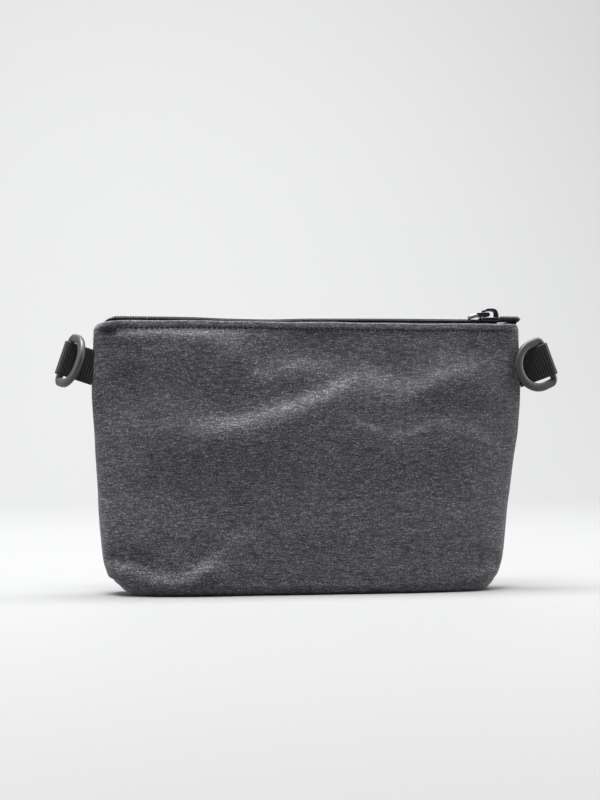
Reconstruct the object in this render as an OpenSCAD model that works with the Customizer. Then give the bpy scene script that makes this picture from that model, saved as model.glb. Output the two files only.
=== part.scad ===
// Zipped fabric carry case for game miniatures: a soft wedge-shaped pouch that
// stands on a boxed base, closes with a coil zip along its top and carries a
// webbing tab with a D-ring at each top corner.
// Frame: +X along the zip, -Y is the front, +Z up, origin in the middle of the
// base where the case stands. Millimetres.

/* [Body] */
// Height of the cloth walls
wall_h = 158; // [140:1:175]
// Half width at the zip end of the body
half_w = 127; // [118:0.5:130]
// Half depth at the widest part of the base
half_d = 22.5; // [19:0.5:27]
// Outer cloth thickness
cloth_t = 1.0; // [0.6:0.1:1.2]
// Foam interlining thickness
foam_t = 2.2; // [1.5:0.1:2.4]
// Lining thickness
lining_t = 0.5; // [0.3:0.1:0.6]

/* [Zip] */
// Thickness of the zip tape
tape_t = 0.45; // [0.4:0.05:0.45]
// Width of one coil row
coil_w = 2.9; // [2.6:0.1:3.1]
// Height of the coil above the tape
coil_h = 2.4; // [2.1:0.1:2.5]
// Rest position of the slider along the zip
slider_x = 108; // [106:0.1:111]
// Length of the slider
slider_l = 12; // [11.6:0.1:14]
// Length of the pull from its pivot
pull_l = 12; // [10.5:0.5:13]

/* [Tabs and rings] */
// Width of the webbing
web_w = 19.6; // [18:0.1:19.6]
// Webbing thickness
web_t = 1.2; // [1:0.05:1.25]
// Bar axis distance from the side seam, left tab
bar_out_left = 16; // [15:0.1:20]
// Bar axis distance from the side seam, right tab
bar_out_right = 18.2; // [16:0.1:20]
// Upward tilt of the left tab
tilt_left = 18.2; // [15:0.1:24]
// Upward tilt of the right tab
tilt_right = 20.8; // [15:0.1:24]
// Wire width of the D-ring
ring_wire = 5; // [4:0.1:5]
// Half width of the D-ring to the wire's centre line
ring_c = 13.2; // [13.2:0.05:14]
// Fold angle of the left ring in front of its tab
fold_left = 66; // [17:1:160]
// Fold angle of the right ring in front of its tab
fold_right = 17; // [17:1:160]

/* [Hidden] */

cloth_c = [0.29, 0.29, 0.31];
black_c = [0.07, 0.07, 0.07];
foam_c = [0.55, 0.55, 0.56];
lining_c = [0.12, 0.12, 0.13];
ring_c_rgb = [0.26, 0.26, 0.27];
metal_c = [0.18, 0.18, 0.19];

wall_z0 = 2.5;
tab_z_left = 130.8;
tab_z_right = 130.3;
foam_half = half_w - 8;
k = wall_h / 158;
kx = half_w / 125;

// Half width, half depth and corner exponents of the body at a height
function hw(z) = half_w / 125 * lookup(z / k, [[0, 105], [2.5, 107.5],
  [5, 109.8], [9, 112.6], [13, 114.4], [20, 116.3], [35, 118], [55, 119.8],
  [75, 121.7], [95, 123.8], [118, 125.2], [140, 124.6], [158, 124.2]]);
function hd(z) = half_d / 22.5 * lookup(z / k, [[0, 19], [2.5, 21.6],
  [6, 22.5], [12, 22.5], [30, 21], [60, 18.2], [90, 15.2], [120, 12],
  [145, 9.3], [152, 8.6], [158, 8.2]]);
function pn(z) = lookup(z / k, [[0, 4.6], [20, 4.2], [60, 4], [120, 5.2],
  [143, 7], [150, 12], [158, 26]]);
function pm(z) = lookup(z / k, [[0, 2.2], [60, 1.8], [120, 1.5], [158, 1.3]]);
// Depth of the body's surface at x and z, e inside the outer cloth
function yo(x, z, e) = let (w = hw(z) - e, t = min(1, abs(x) / w))
  (hd(z) - e) * pow(max(0, 1 - pow(t, pn(z))), 1 / pm(z));

// A closed solid between the first and last of a list of equal rings
module loft(rings) {
  n = len(rings[0]);
  m = len(rings);
  pts = [for (r = rings) each r];
  sides = [for (j = [0:m - 2], i = [0:n - 1]) let (a = j * n + i,
    b = j * n + (i + 1) % n) each [[a, b, b + n], [a, b + n, a + n]]];
  polyhedron(pts, concat([[for (i = [n - 1:-1:0]) i]], sides,
    [[for (i = [0:n - 1]) (m - 1) * n + i]]));
}

// One wall layer between insets e0 and e1(z), s = -1 front, s = 1 back
module wall_layer(s, e0, e1, zs, cols, hem = 0) {
  ni = cols;
  nj = len(zs);
  function pt(i, z, e) = let (a = -90 + 180 * i / ni, w = hw(z) - e,
    x = w * sin(a)) [x, s * (0.15 + yo(x, z, e)), z];
  function inner(z) = z > wall_h - 9 ? e1 + hem : e1;
  o = [for (j = [0:nj - 1], i = [0:ni]) pt(i, zs[j], e0)];
  n = [for (j = [0:nj - 1], i = [0:ni]) pt(i, zs[j], inner(zs[j]))];
  N = len(o);
  c = ni + 1;
  f_out = [for (j = [0:nj - 2], i = [0:ni - 1]) let (a = j * c + i)
    each [[a, a + 1 + c, a + 1], [a, a + c, a + 1 + c]]];
  f_in = [for (j = [0:nj - 2], i = [0:ni - 1]) let (a = N + j * c + i)
    each [[a, a + 1, a + 1 + c], [a, a + 1 + c, a + c]]];
  f_bot = [for (i = [0:ni - 1]) each [[i, i + 1, N + i + 1],
    [i, N + i + 1, N + i]]];
  t0 = (nj - 1) * c;
  f_top = [for (i = [0:ni - 1]) each [[t0 + i, N + t0 + i + 1, t0 + i + 1],
    [t0 + i, N + t0 + i, N + t0 + i + 1]]];
  f_l = [for (j = [0:nj - 2]) let (a = j * c) each [[a, N + a + c, a + c],
    [a, N + a, N + a + c]]];
  f_r = [for (j = [0:nj - 2]) let (a = j * c + ni) each [[a, a + c, N + a + c],
    [a, N + a + c, N + a]]];
  all_f = concat(f_out, f_in, f_bot, f_top, f_l, f_r);
  polyhedron(concat(o, n), s < 0 ? all_f : [for (f = all_f) [f[2], f[1], f[0]]]);
}

cloth_zs = [for (z = [2.5, 4, 6, 9, 13, 18, 26, 40, 58, 76, 95, 112, 128, 142,
  148.9, 149.4, 154, 158]) z * k];
inner_zs = [for (z = [2.5, 4, 6, 9, 13, 18, 26, 40, 58, 76, 95, 112, 128, 142,
  147]) z * k];

// Slots through which the webbing leaves the side seams
module tab_slots() {
  for (s = [-1, 1])
    at_tab(s) translate([-6, -1.45, -web_w / 2 - 0.2])
      cube([14, 2.9, web_w + 0.4]);
}

// Frame of a tab: x out along the webbing, z along the bar, at the side seam
module at_tab(s) {
  if (s > 0) translate([hw(tab_z_right * k), 0, tab_z_right * k])
    rotate([0, -tilt_right, 0]) children();
  else mirror([1, 0, 0]) translate([hw(tab_z_left * k), 0, tab_z_left * k])
    rotate([0, -tilt_left, 0]) children();
}

module cloth_wall(s) {
  color(cloth_c) difference() {
    wall_layer(s, 0, cloth_t, cloth_zs, 38, 1.0);
    tab_slots();
  }
}
// The foam stops short of the side seams
module padding_wall(s) {
  color(foam_c) intersection() {
    wall_layer(s, cloth_t + 0.25, cloth_t + foam_t, inner_zs, 38);
    translate([-foam_half, -40, -1]) cube([2 * foam_half, 80, 200]);
  }
}
module lining_wall(s) {
  color(lining_c) difference() {
    wall_layer(s, cloth_t + foam_t + 0.12, cloth_t + foam_t + 0.12 + lining_t,
      inner_zs, 38);
    tab_slots();
  }
}

// Closed outline of the base at inset e
function base_outline(z, e) = let (w = hw(z) - e, n = 26) concat(
  [for (i = [0:n]) let (x = w * sin(-90 + 180 * i / n)) [x, -yo(x, z, e)]],
  [for (i = [n - 1:-1:1]) let (x = w * sin(-90 + 180 * i / n)) [x, yo(x, z, e)]]);

module front_panel() cloth_wall(-1);
module back_panel() cloth_wall(1);
module base_panel() {
  color(cloth_c) difference() {
    linear_extrude(wall_z0 - 0.1) polygon(base_outline(2.5, 0.6));
    translate([0, 0, cloth_t]) linear_extrude(4) polygon(base_outline(2.5, 0.6 + cloth_t));
  }
}
module front_padding() padding_wall(-1);
module back_padding() padding_wall(1);
module base_padding() {
  color(foam_c) translate([0, 0, cloth_t + 0.05])
    linear_extrude(wall_z0 - cloth_t - 0.15) polygon(base_outline(2.5, 0.8 + cloth_t));
}
module front_lining() lining_wall(-1);
module back_lining() lining_wall(1);
module base_lining() {
  e = cloth_t + foam_t + lining_t + 0.4;
  color(lining_c) translate([0, 0, wall_z0 - 0.05]) linear_extrude(lining_t)
    polygon(base_outline(2.5, e));
}

// Binding tape over the raw edges of a side seam, inside the case
module side_binding() {
  e = cloth_t + foam_t + lining_t + 4.4;
  color(black_c) loft([for (z = [18, 26, 40, 60, 80, 110, 146]) let (zz = z * k,
    x1 = hw(zz) - e, x0 = x1 - 7.5) [[x0, -0.9, zz], [x0 + 0.6, -1.3, zz],
    [x1, -1.3, zz], [x1, 1.3, zz], [x0 + 0.6, 1.3, zz], [x0, 0.9, zz]]]);
}
module side_binding_right() side_binding();
module side_binding_left() mirror([1, 0, 0]) side_binding();

// The zip's line: height of the tape, and the half gap between the coils,
// which part inside the slider and come back together at the right end seam
zip_xs = [for (x = [-119, -117.5, -116, -114, -112, -110, -108, -104, -60, 0, 60, 101,
  103, 104, 105, 107, 108.5, 110, 112, 113.5, 115, 117, 119,
  121, 123, 124.4]) x * kx];
function zip_z(x) = k * lookup(x / kx, [[-119, 153.4], [-117.5, 155.2], [-116, 156.4],
  [-114, 157.1], [-112, 157.3], [112, 157.3], [115, 157.8], [118, 158.5],
  [121, 158.9], [125, 159]]);
function zip_gap(x) = lookup(x / kx, [[103, 0.15], [105, 0.3], [107, 0.7],
  [108.5, 1.15], [110, 1.5], [112, 1.7], [115, 1.6], [119, 1.1], [124.4, 0.5]]);
function tape_leg(x) = lookup(x / kx, [[-114, 0.12], [-108, 8], [104, 8], [107, 0.12]]);
function tape_out(x) = lookup(x / kx, [[-119, 2.1], [-116, 2.9], [-112, 4.4],
  [-108, 5.7], [-104, 6.05], [107, 6.05], [109, 5.7], [113, 5], [118, 3.6],
  [124.4, 2.6]]);

// L-shaped tape of one side: its flat edge at the coil and its sewn-down leg
module zip_tape(s) {
  color(black_c) loft([for (x = zip_xs) let (z = zip_z(x), a = zip_gap(x) + 0.15,
    b = tape_out(x), l = tape_leg(x), r = [[a, z], [a, z + tape_t],
    [b, z + tape_t], [b, z - l], [b - tape_t, z - l], [b - tape_t, z]])
    [for (p = s < 0 ? r : [for (i = [5:-1:0]) r[i]]) [x, s * p[0], p[1]]]]);
}
// One coil row as a bar of its outer shape
module zip_coil(s) {
  color(black_c) loft([for (x = zip_xs) let (z = zip_z(x) + tape_t + 0.1,
    a = zip_gap(x), w = x < -116 ? 1.9 : coil_w, b = a + w,
    r = [[a, z + 0.5], [a, z + coil_h - 0.6], [a + 0.5, z + coil_h],
    [b - 0.7, z + coil_h], [b, z + coil_h - 0.8], [b, z + 0.5], [b - 0.4, z],
    [a + 0.4, z]])
    [for (p = s < 0 ? r : [for (i = [7:-1:0]) r[i]]) [x, s * p[0], p[1]]]]);
}
module zipper_tape_front() zip_tape(-1);
module zipper_tape_back() zip_tape(1);
module zipper_coil_front() zip_coil(-1);
module zipper_coil_back() zip_coil(1);

// Row of stitches along the top edge, each a short straight thread
module topstitch(s) {
  z = 152.6 * k;
  color(black_c) for (x = [-117:3:117]) let (y0 = yo(x - 1.1, z, 0),
    y1 = yo(x + 1.1, z, 0), y = max(y0, y1) + 0.2)
    translate([x - 1.1, s * (y + 0.15) - 0.15, z - 0.2]) cube([2.2, 0.3, 0.4]);
}
module topstitch_front() topstitch(-1);
module topstitch_back() topstitch(1);

// Slider: two plates joined by a post, side flanges, and a bridge on top.
// Drawn about its own middle, the wide end towards +X.
sl_zb = 157.3 - 1.4;
sl_zt = 157.3 + 0.6 + 2.4 + 0.35;
module slider_plate(z, t) {
  translate([0, 0, z]) linear_extrude(t) difference() {
    polygon([[-slider_l / 2, -3.4], [-slider_l / 2 + 0.8, -4.3], [0, -4.9],
      [3.2, -5.5], [slider_l / 2 - 1.2, -5.5], [slider_l / 2, -4.2],
      [slider_l / 2, 4.2], [slider_l / 2 - 1.2, 5.5], [3.2, 5.5], [0, 4.9],
      [-slider_l / 2 + 0.8, 4.3], [-slider_l / 2, 3.4]]);
    translate([slider_l / 2 + 0.9, 0]) circle(r = 1.9, $fn = 48);
  }
}
module slider_flange(z, t) {
  translate([0, 0, z]) linear_extrude(t) for (s = [-1, 1])
    polygon([for (p = [[-slider_l / 2 + 0.8, 3.45], [-1, 3.7], [2.6, 4.75],
      [slider_l / 2 - 1.2, 4.75], [slider_l / 2 - 1.2, 5.5], [3.2, 5.5],
      [0, 4.9], [-slider_l / 2 + 0.8, 4.3]]) [p[0], s * p[1]]]);
}
module slider_body() {
  color(metal_c) translate([slider_x, 0, (k - 1) * 157.3]) {
    slider_plate(sl_zb, 0.9);
    slider_plate(sl_zt, 0.9);
    slider_flange(sl_zt - 1.5, 1.6);
    slider_flange(sl_zb + 0.8, 0.35);
    translate([0, 0, sl_zb + 0.5]) linear_extrude(sl_zt - sl_zb)
      polygon([[-0.6, 0], [2.4, -1.05], [4.3, -1.05], [4.3, 1.05], [2.4, 1.05]]);
    difference() {
      translate([0, 1, 0]) rotate([90, 0, 0]) linear_extrude(2) polygon(
        [[-4.8, sl_zt + 0.6], [-4.7, 164.6], [-4.1, 165.9], [-2.6, 166.8],
        [0.4, 167.3], [3, 167.3], [4.8, 166.6], [5.8, 165.1], [6, 163.3],
        [6, sl_zt + 0.6]]);
      translate([0, 2, 0]) rotate([90, 0, 0]) linear_extrude(4) polygon(
        [[-3.1, sl_zt + 0.9], [-3.1, 164.3], [-2.4, 165], [-0.5, 165.3],
        [1.6, 165.2], [2.6, 164.5], [2.8, 163.5], [2.8, sl_zt + 0.9]]);
    }
  }
}

// Pull: two arms on a cross bar that runs through the bridge, and a plate
// bent down a little from the arms
pull_x = -1.1;
pull_z = 163.35;
pull_rest = 3;
pull_bend = 14;
module pull_tab() {
  color(metal_c) translate([slider_x + pull_x, 0, pull_z + (k - 1) * 157.3])
    rotate([0, -pull_rest, 0]) {
      rotate([90, 0, 0]) cylinder(r = 0.9, h = 4, center = true, $fn = 32);
      for (s = [-1, 1]) translate([0, s * 1.75 + 0.5, 0]) rotate([90, 0, 0])
        linear_extrude(1) {
          circle(r = 1.1, $fn = 32);
          translate([-6.4, -1.1]) square([6.4, 2.2]);
        }
      translate([-6.6, -2.25, -1.1]) cube([1.2, 4.5, 2.2]);
      translate([-5.9, 0, 0]) rotate([0, -pull_bend, 0])
        translate([0, 0, -0.75]) linear_extrude(1.5) {
          translate([-pull_l + 8.5, -2.6]) square([pull_l - 8.5, 5.2]);
          translate([-pull_l + 8.5, 0]) circle(r = 2.6, $fn = 48);
        }
    }
}

// Webbing folded round the ring's bar, its two ends together in the seam
bar_r = 2.0;
loop_r = 2.2;
module web_tab(bar_out) {
  o = loop_r + web_t;
  color(black_c) translate([0, 0, -web_w / 2]) linear_extrude(web_w) difference() {
    union() {
      translate([bar_out, 0]) circle(r = o, $fn = 64);
      polygon([[-3.6, -web_t - 0.1], [3, -web_t - 0.1],
        [bar_out - 1.1, -o + 0.17], [bar_out - 1.1, o - 0.17],
        [3, web_t + 0.1], [-3.6, web_t + 0.1]]);
    }
    translate([bar_out, 0]) circle(r = loop_r, $fn = 64);
    polygon([[-4, -0.1], [3, -0.1], [bar_out - 0.8, -loop_r + 0.17],
      [bar_out - 0.8, loop_r - 0.17], [3, 0.1], [-4, 0.1]]);
  }
}
module web_tab_right() at_tab(1) web_tab(bar_out_right);
module web_tab_left() at_tab(-1) web_tab(bar_out_left);

// D-ring in its own plane: bar on the Z axis, bow towards +X
ring_q = 7.7;
ring_drop = 0.8;
ring_th = 3.6;
module ring_section(w, t) {
  polygon([[-w / 2, -t / 2 + 1.1], [-w / 2 + 0.35, -t / 2 + 0.4],
    [-w / 2 + 1, -t / 2], [w / 2 - 1, -t / 2], [w / 2 - 0.35, -t / 2 + 0.4],
    [w / 2, -t / 2 + 1.1], [w / 2, t / 2 - 1.1], [w / 2 - 0.35, t / 2 - 0.4],
    [w / 2 - 1, t / 2], [-w / 2 + 1, t / 2], [-w / 2 + 0.35, t / 2 - 0.4],
    [-w / 2, t / 2 - 1.1]]);
}
module d_ring() {
  color(ring_c_rgb) {
    cylinder(r = bar_r, h = 2 * ring_c - ring_wire + 1.2, center = true, $fn = 48);
    for (s = [-1, 1]) translate([-1.6, 0, s * ring_c]) rotate([0, 90, 0])
      linear_extrude(ring_q + 1.6) ring_section(ring_wire, ring_th);
    translate([ring_q, 0, 0]) rotate([90, 0, 0]) rotate([0, 0, -90])
      rotate_extrude(angle = 180, $fn = 96) translate([ring_c, 0])
        ring_section(ring_wire, ring_th);
  }
}
// fold is the angle between the ring and its tab, in front of the tab
module placed_ring(s, bar_out, fold) {
  at_tab(s) translate([bar_out, 0, -ring_drop]) rotate([0, 0, 180 + fold])
    d_ring();
}
module d_ring_right() placed_ring(1, bar_out_right, fold_right);
module d_ring_left() placed_ring(-1, bar_out_left, fold_left);

front_panel();
back_panel();
base_panel();
front_padding();
back_padding();
base_padding();
front_lining();
back_lining();
base_lining();
side_binding_left();
side_binding_right();
zipper_tape_front();
zipper_tape_back();
zipper_coil_front();
zipper_coil_back();
topstitch_front();
topstitch_back();
slider_body();
pull_tab();
web_tab_left();
web_tab_right();
d_ring_left();
d_ring_right();
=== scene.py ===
import math

import bmesh
import bpy
import numpy as np
from mathutils import Matrix, Vector


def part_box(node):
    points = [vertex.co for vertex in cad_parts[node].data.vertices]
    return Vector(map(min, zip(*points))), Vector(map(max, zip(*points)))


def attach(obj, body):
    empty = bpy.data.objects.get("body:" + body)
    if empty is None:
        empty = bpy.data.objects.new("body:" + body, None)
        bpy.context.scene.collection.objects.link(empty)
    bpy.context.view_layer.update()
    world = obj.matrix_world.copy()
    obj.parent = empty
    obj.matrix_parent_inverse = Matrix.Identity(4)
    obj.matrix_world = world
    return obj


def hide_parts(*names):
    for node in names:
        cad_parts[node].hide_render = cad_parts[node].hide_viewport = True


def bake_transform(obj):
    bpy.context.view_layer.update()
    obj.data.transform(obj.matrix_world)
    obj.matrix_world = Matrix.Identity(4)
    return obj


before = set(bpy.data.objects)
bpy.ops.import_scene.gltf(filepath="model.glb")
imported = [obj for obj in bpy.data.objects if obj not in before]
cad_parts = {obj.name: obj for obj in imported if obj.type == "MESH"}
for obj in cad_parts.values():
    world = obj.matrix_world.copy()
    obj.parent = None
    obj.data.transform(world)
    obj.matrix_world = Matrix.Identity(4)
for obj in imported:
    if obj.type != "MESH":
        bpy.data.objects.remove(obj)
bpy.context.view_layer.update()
MM = 0.001
rng = np.random.default_rng(7)
scene = bpy.context.scene
scene.view_settings.view_transform = "Standard"
scene.view_settings.look = "None"

# ---------------------------------------------------------------- camera
AZ, DIST, CAM_H = -8.0, 850.0, 101.0
YAW, PITCH = 0.40, 0.75
FPX = 1445.0
az = math.radians(AZ)
CAM = np.array([math.sin(az) * DIST, -math.cos(az) * DIST, CAM_H])
heading = az + math.radians(YAW)
CX = np.array([math.cos(heading), math.sin(heading), 0.0])
CF = np.array([-math.sin(heading) * math.cos(math.radians(PITCH)),
               math.cos(heading) * math.cos(math.radians(PITCH)),
               math.sin(math.radians(PITCH))])
CU = np.cross(CX, CF)
cam_data = bpy.data.cameras.new("camera")
cam_data.sensor_width = 36.0
cam_data.lens = FPX * 36.0 / 800.0
cam_data.clip_start, cam_data.clip_end = 0.01, 50
cam = bpy.data.objects.new("camera", cam_data)
scene.collection.objects.link(cam)
rot = Matrix((CX, CU, -CF)).transposed()
cam.matrix_world = Matrix.Translation(Vector(CAM * MM)) @ rot.to_4x4()
scene.camera = cam


def place(P):
    """Where points in millimetres fall in the picture frame of 600 by 800."""
    d = P - CAM
    z = d @ CF
    return 300 + FPX * (d @ CX) / z, 400 - FPX * (d @ CU) / z


# ---------------------------------------------------------------- shape
def table(z, rows):
    r = np.array(rows, float)
    return np.interp(z, r[:, 0], r[:, 1])


def smooth_table(z, rows):
    """Interpolates a table with a smooth curve through its rows."""
    r = np.array(rows, float)
    x, y = r[:, 0], r[:, 1]
    d = np.diff(y) / np.diff(x)
    m = np.zeros(len(x))
    m[1:-1] = np.where(d[:-1] * d[1:] > 0, 2 * d[:-1] * d[1:] / (d[:-1] + d[1:] + 1e-12), 0)
    m[0], m[-1] = d[0], d[-1]
    i = np.clip(np.searchsorted(x, z) - 1, 0, len(x) - 2)
    h = x[i + 1] - x[i]
    t = np.clip((z - x[i]) / h, 0, 1)
    return ((1 + 2 * t) * (1 - t) ** 2 * y[i] + t * (1 - t) ** 2 * h * m[i]
            + t * t * (3 - 2 * t) * y[i + 1] + t * t * (t - 1) * h * m[i + 1])


HW = [[-1, 102.5], [0, 105], [2.5, 107.5], [5, 109.8], [9, 112.6], [13, 114.4], [20, 116.3], [35, 118],
      [55, 119.8], [75, 121.7], [95, 123.8], [118, 125.2], [140, 124.6], [158, 124.2], [160, 124.2]]
LEAN = [[-1, -1.6], [8, -2.1], [20, -2.3], [45, -2.2], [60, -1.5], [80, -0.8], [95, 0], [160, 0]]
HD = [[-1, 15.6], [0, 17.2], [1.4, 19.4], [3.2, 21.5], [6.2, 22.5], [12, 22.5], [30, 21], [60, 18.2], [90, 15.2],
      [120, 12], [145, 9.3], [152, 8.6], [160, 8.1]]
PN = [[0, 4.6], [20, 4.2], [60, 4], [120, 5.2], [143, 7], [150, 12], [158, 26], [160, 28]]
PM = [[0, 2.2], [60, 1.8], [120, 1.5], [160, 1.3]]


KX = 127.0 / 125.0


def hw(z):
    return KX * smooth_table(z, HW)


def hd(z):
    return smooth_table(z, HD)


def lean(z):
    """The filled lower part has settled a little towards the left."""
    return smooth_table(z, LEAN)


def top_corner(x, z):
    """The top left corner is rounder than the right one."""
    return (2.9 * np.clip((z - 151.8) / 5.2, 0, 1) ** 2.4 * sstep(113, 127, -x)
            - 0.9 * np.clip((z - 154) / 3, 0, 1) ** 2 * sstep(122, 127, x))


def depth(x, z, e):
    w = hw(z) - e
    t = np.clip(np.abs(x) / w, 0, 1)
    return (hd(z) - e) * np.clip(1 - t ** table(z, PN), 0, 1) ** (1 / table(z, PM))


def gauss(x, c, s):
    return np.exp(-0.5 * ((x - c) / s) ** 2)


def sstep(a, b, x):
    t = np.clip((x - a) / (b - a), 0, 1)
    return t * t * (3 - 2 * t)


def value_noise(x, y, seed):
    """Smooth noise in -1..1 on a unit lattice."""
    r = np.random.default_rng(seed).uniform(-1, 1, (64, 64))
    xi, yi = np.floor(x).astype(int), np.floor(y).astype(int)
    fx, fy = x - xi, y - yi
    fx, fy = fx * fx * (3 - 2 * fx), fy * fy * (3 - 2 * fy)
    g = lambda i, j: r[i % 64, j % 64]
    return ((g(xi, yi) * (1 - fx) + g(xi + 1, yi) * fx) * (1 - fy)
            + (g(xi, yi + 1) * (1 - fx) + g(xi + 1, yi + 1) * fx) * fy)


def stroke(px, py, pts, sigma, amp, ends=14.0, reach=3.0, rise=0.0):
    """A fold whose face along the line pts turns up (amp > 0) or down, and
    which dies away over reach times its width on both sides."""
    best = np.full(px.shape, 1e9)
    sd = np.zeros(px.shape)
    along = np.zeros(px.shape)
    pts = np.array(pts, float)
    seg = np.diff(pts, axis=0)
    ln = np.hypot(seg[:, 0], seg[:, 1])
    s0 = np.concatenate([[0], np.cumsum(ln)])
    for k in range(len(seg)):
        t = ((px - pts[k, 0]) * seg[k, 0] + (py - pts[k, 1]) * seg[k, 1]) / ln[k] ** 2
        lo = -1e9 if k == 0 else 0.0
        hi = 1e9 if k == len(seg) - 1 else 1.0
        t = np.clip(t, lo, hi)
        dx, dy = px - pts[k, 0] - t * seg[k, 0], py - pts[k, 1] - t * seg[k, 1]
        d = np.hypot(dx, dy)
        side = (seg[k, 0] * dy - seg[k, 1] * dx) / ln[k]
        m = d < best
        best = np.where(m, d, best)
        sd = np.where(m, np.sign(side) * d, sd)
        along = np.where(m, s0[k] + t * ln[k], along)
    total = s0[-1]
    taper = sstep(-ends, ends * 0.6, along) * sstep(-ends, ends * 0.6, total - along)
    u = sd / sigma
    return 1.9 * amp * (np.tanh(1.2 * u) + rise) * np.exp(-0.5 * (u / reach) ** 2) * taper


FRONT_FOLDS = [
    ([(205, 424), (240, 421), (275, 411), (320, 395), (360, 373), (380, 378), (398, 390)], 11.0, 0.90, 26, 4.0),
    ([(80, 424), (150, 423), (225, 423)], 10.0, 0.40, 26, 4.0),
    ([(225, 424), (275, 411), (320, 395), (352, 378)], 6.5, 0.50, 18),
    ([(258, 372), (298, 364), (336, 366)], 11.0, 0.80, 18),
    ([(106, 335), (160, 334), (200, 336), (238, 345)], 8.5, 0.42, 20, 3.6, 1.0),
    ([(190, 332), (260, 334), (292, 334)], 6.0, 0.22, 16, 3.6, 1.0),
    ([(126, 412), (150, 400), (172, 393)], 9.0, 0.34),
    ([(408, 389), (440, 373), (478, 364)], 10.0, 0.72, 18),
    ([(352, 419), (372, 429), (396, 435), (420, 428), (440, 422), (475, 429), (497, 446)], 5.5, 0.30),
    ([(412, 400), (452, 400), (500, 404)], 11.0, -0.42, 18),
    ([(104, 378), (142, 376)], 20.0, -0.42, 18),
    ([(231, 352), (205, 384), (193, 412)], 9.0, -0.20),
    ([(373, 362), (405, 350)], 9.0, -0.32),
    ([(150, 475), (300, 462), (460, 475)], 32.0, -1.05, 40),
    ([(230, 548), (350, 545), (470, 548)], 24.0, -0.55, 40),
    ([(96, 556), (125, 553), (152, 556)], 7.0, -0.62),
    ([(104, 560), (130, 567), (152, 576), (174, 580), (194, 574), (212, 562)], 6.5, 1.05, 16),
    ([(200, 570), (218, 556), (238, 538), (258, 527)], 6.5, 0.42, 12),
    ([(478, 552), (505, 558)], 6.5, -0.30),
    ([(474, 574), (498, 568)], 6.0, 0.42),
]
BACK_FOLDS = [
    ([(-95, 118), (-40, 104), (10, 96), (60, 84), (84, 70)], 5.0, -0.50),
    ([(-60, 134), (-20, 140), (30, 133)], 5.5, -0.30),
    ([(20, 120), (60, 112), (100, 118)], 5.0, -0.32),
    ([(-110, 20), (-96, 12), (-80, 10), (-60, 20), (-45, 30)], 3.4, -0.55),
    ([(112, 22), (98, 13), (82, 11), (64, 19)], 3.4, -0.50),
    ([(-100, 88), (-64, 80)], 7.0, -0.25),
]


def relief(x, y, z, s):
    """How far the cloth stands out of the plain shape, in millimetres."""
    if s < 0:
        px, py = place(np.stack([x + lean(z), y, z], -1))
        h = sum(stroke(px, py, *f) for f in FRONT_FOLDS)
    else:
        h = sum(stroke(x, z, p, sg, 1.3 * a, 8.0) for p, sg, a in BACK_FOLDS)
    o = 11 if s < 0 else 23
    h = h + 0.34 * value_noise(x / 31 + 9, z / 22 + 3, o) + 0.13 * value_noise(x / 11 + 40, z / 9 + 20, o + 1)
    h = h + 0.045 * value_noise(x / 4.2 + 5, z / 3.4 + 8, o + 2)
    t = np.abs(x) / hw(z)
    h = h * (1 - sstep(0.955, 1.0, t)) * sstep(-1, 7, z) * (1 - 0.85 * sstep(148, 154, z))
    # hem: the folded edge is full above the stitches, which pull a furrow
    pucker = 1 + 0.16 * np.cos(2 * math.pi * x / 3.0)
    row = row_z(x)
    h = h + (1 - sstep(0.975, 1, t)) * (0.05 * gauss(z, row + 1.5, 0.8) + 0.05 * gauss(z, row - 1.5, 1.0) - 0.16 * pucker * gauss(z, row, 0.42))
    # side seams are drawn in a little by their stitches
    h = h + 0.05 * np.cos(2 * math.pi * z / 3.2) * sstep(0.93, 0.97, t) * (1 - sstep(0.985, 1, t))
    # seam across the boxed corner
    c = sstep(0.88, 0.97, t) * np.where(x < 0, 0.75, 0.22)
    h = h - 1.1 * c * gauss(z, 7.0 + 0.4 * np.sin(x * 0.2), 0.7) + 0.3 * c * gauss(z, 9.6, 1.6) + 0.2 * c * gauss(z, 4.6, 1.3)
    return h


def row_z(x):
    """Height of the stitches that hold the hem."""
    return 152.75 + 0.5 * gauss(x, -40, 20)


def top_line(x):
    """Small rise and fall of the hem along the case."""
    return (0.45 + 0.55 * gauss(x, -62, 24) - 0.5 * sstep(108, 122, -x) - 0.6 * sstep(121.5, 125.5, -x) - 0.5 * sstep(124, 126, x)
            - 0.1 * gauss(x, -100, 14) + 0.14 * np.sin(x / 17 + 1) + 0.1 * np.sin(x / 6.3))


def corner_lift(x, z):
    """The left bottom corner curls up off the floor a little."""
    return 3.2 * np.clip((-90 - x) / 20, 0, 1.2) ** 2 * (1 - sstep(0, 12, z))


def mesh_object(name, verts, faces, uvs=None, smooth=True):
    me = bpy.data.meshes.new(name)
    me.from_pydata([tuple(v) for v in (np.asarray(verts) * MM).tolist()], [], [tuple(f) for f in faces])
    if uvs is not None:
        layer = me.uv_layers.new(name="Cloth")
        idx = np.zeros(len(me.loops), np.int32)
        me.loops.foreach_get("vertex_index", idx)
        layer.data.foreach_set("uv", np.asarray(uvs, np.float32)[idx].ravel())
    if smooth:
        me.polygons.foreach_set("use_smooth", np.ones(len(me.polygons), bool))
    me.validate(verbose=False)
    me.update()
    o = bpy.data.objects.new(name, me)
    scene.collection.objects.link(o)
    return o


def grid_faces(nu, nv, wrap_u=False, wrap_v=False, flip=False, base=0):
    iu = np.arange(nu if wrap_u else nu - 1)
    jv = np.arange(nv if wrap_v else nv - 1)
    J, I = np.meshgrid(jv, iu, indexing="ij")
    a = J * nu + I
    b = J * nu + (I + 1) % nu
    c = ((J + 1) % nv) * nu + (I + 1) % nu
    d = ((J + 1) % nv) * nu + I
    f = np.stack([a, b, c, d], -1).reshape(-1, 4) + base
    return f[:, ::-1] if flip else f


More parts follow.
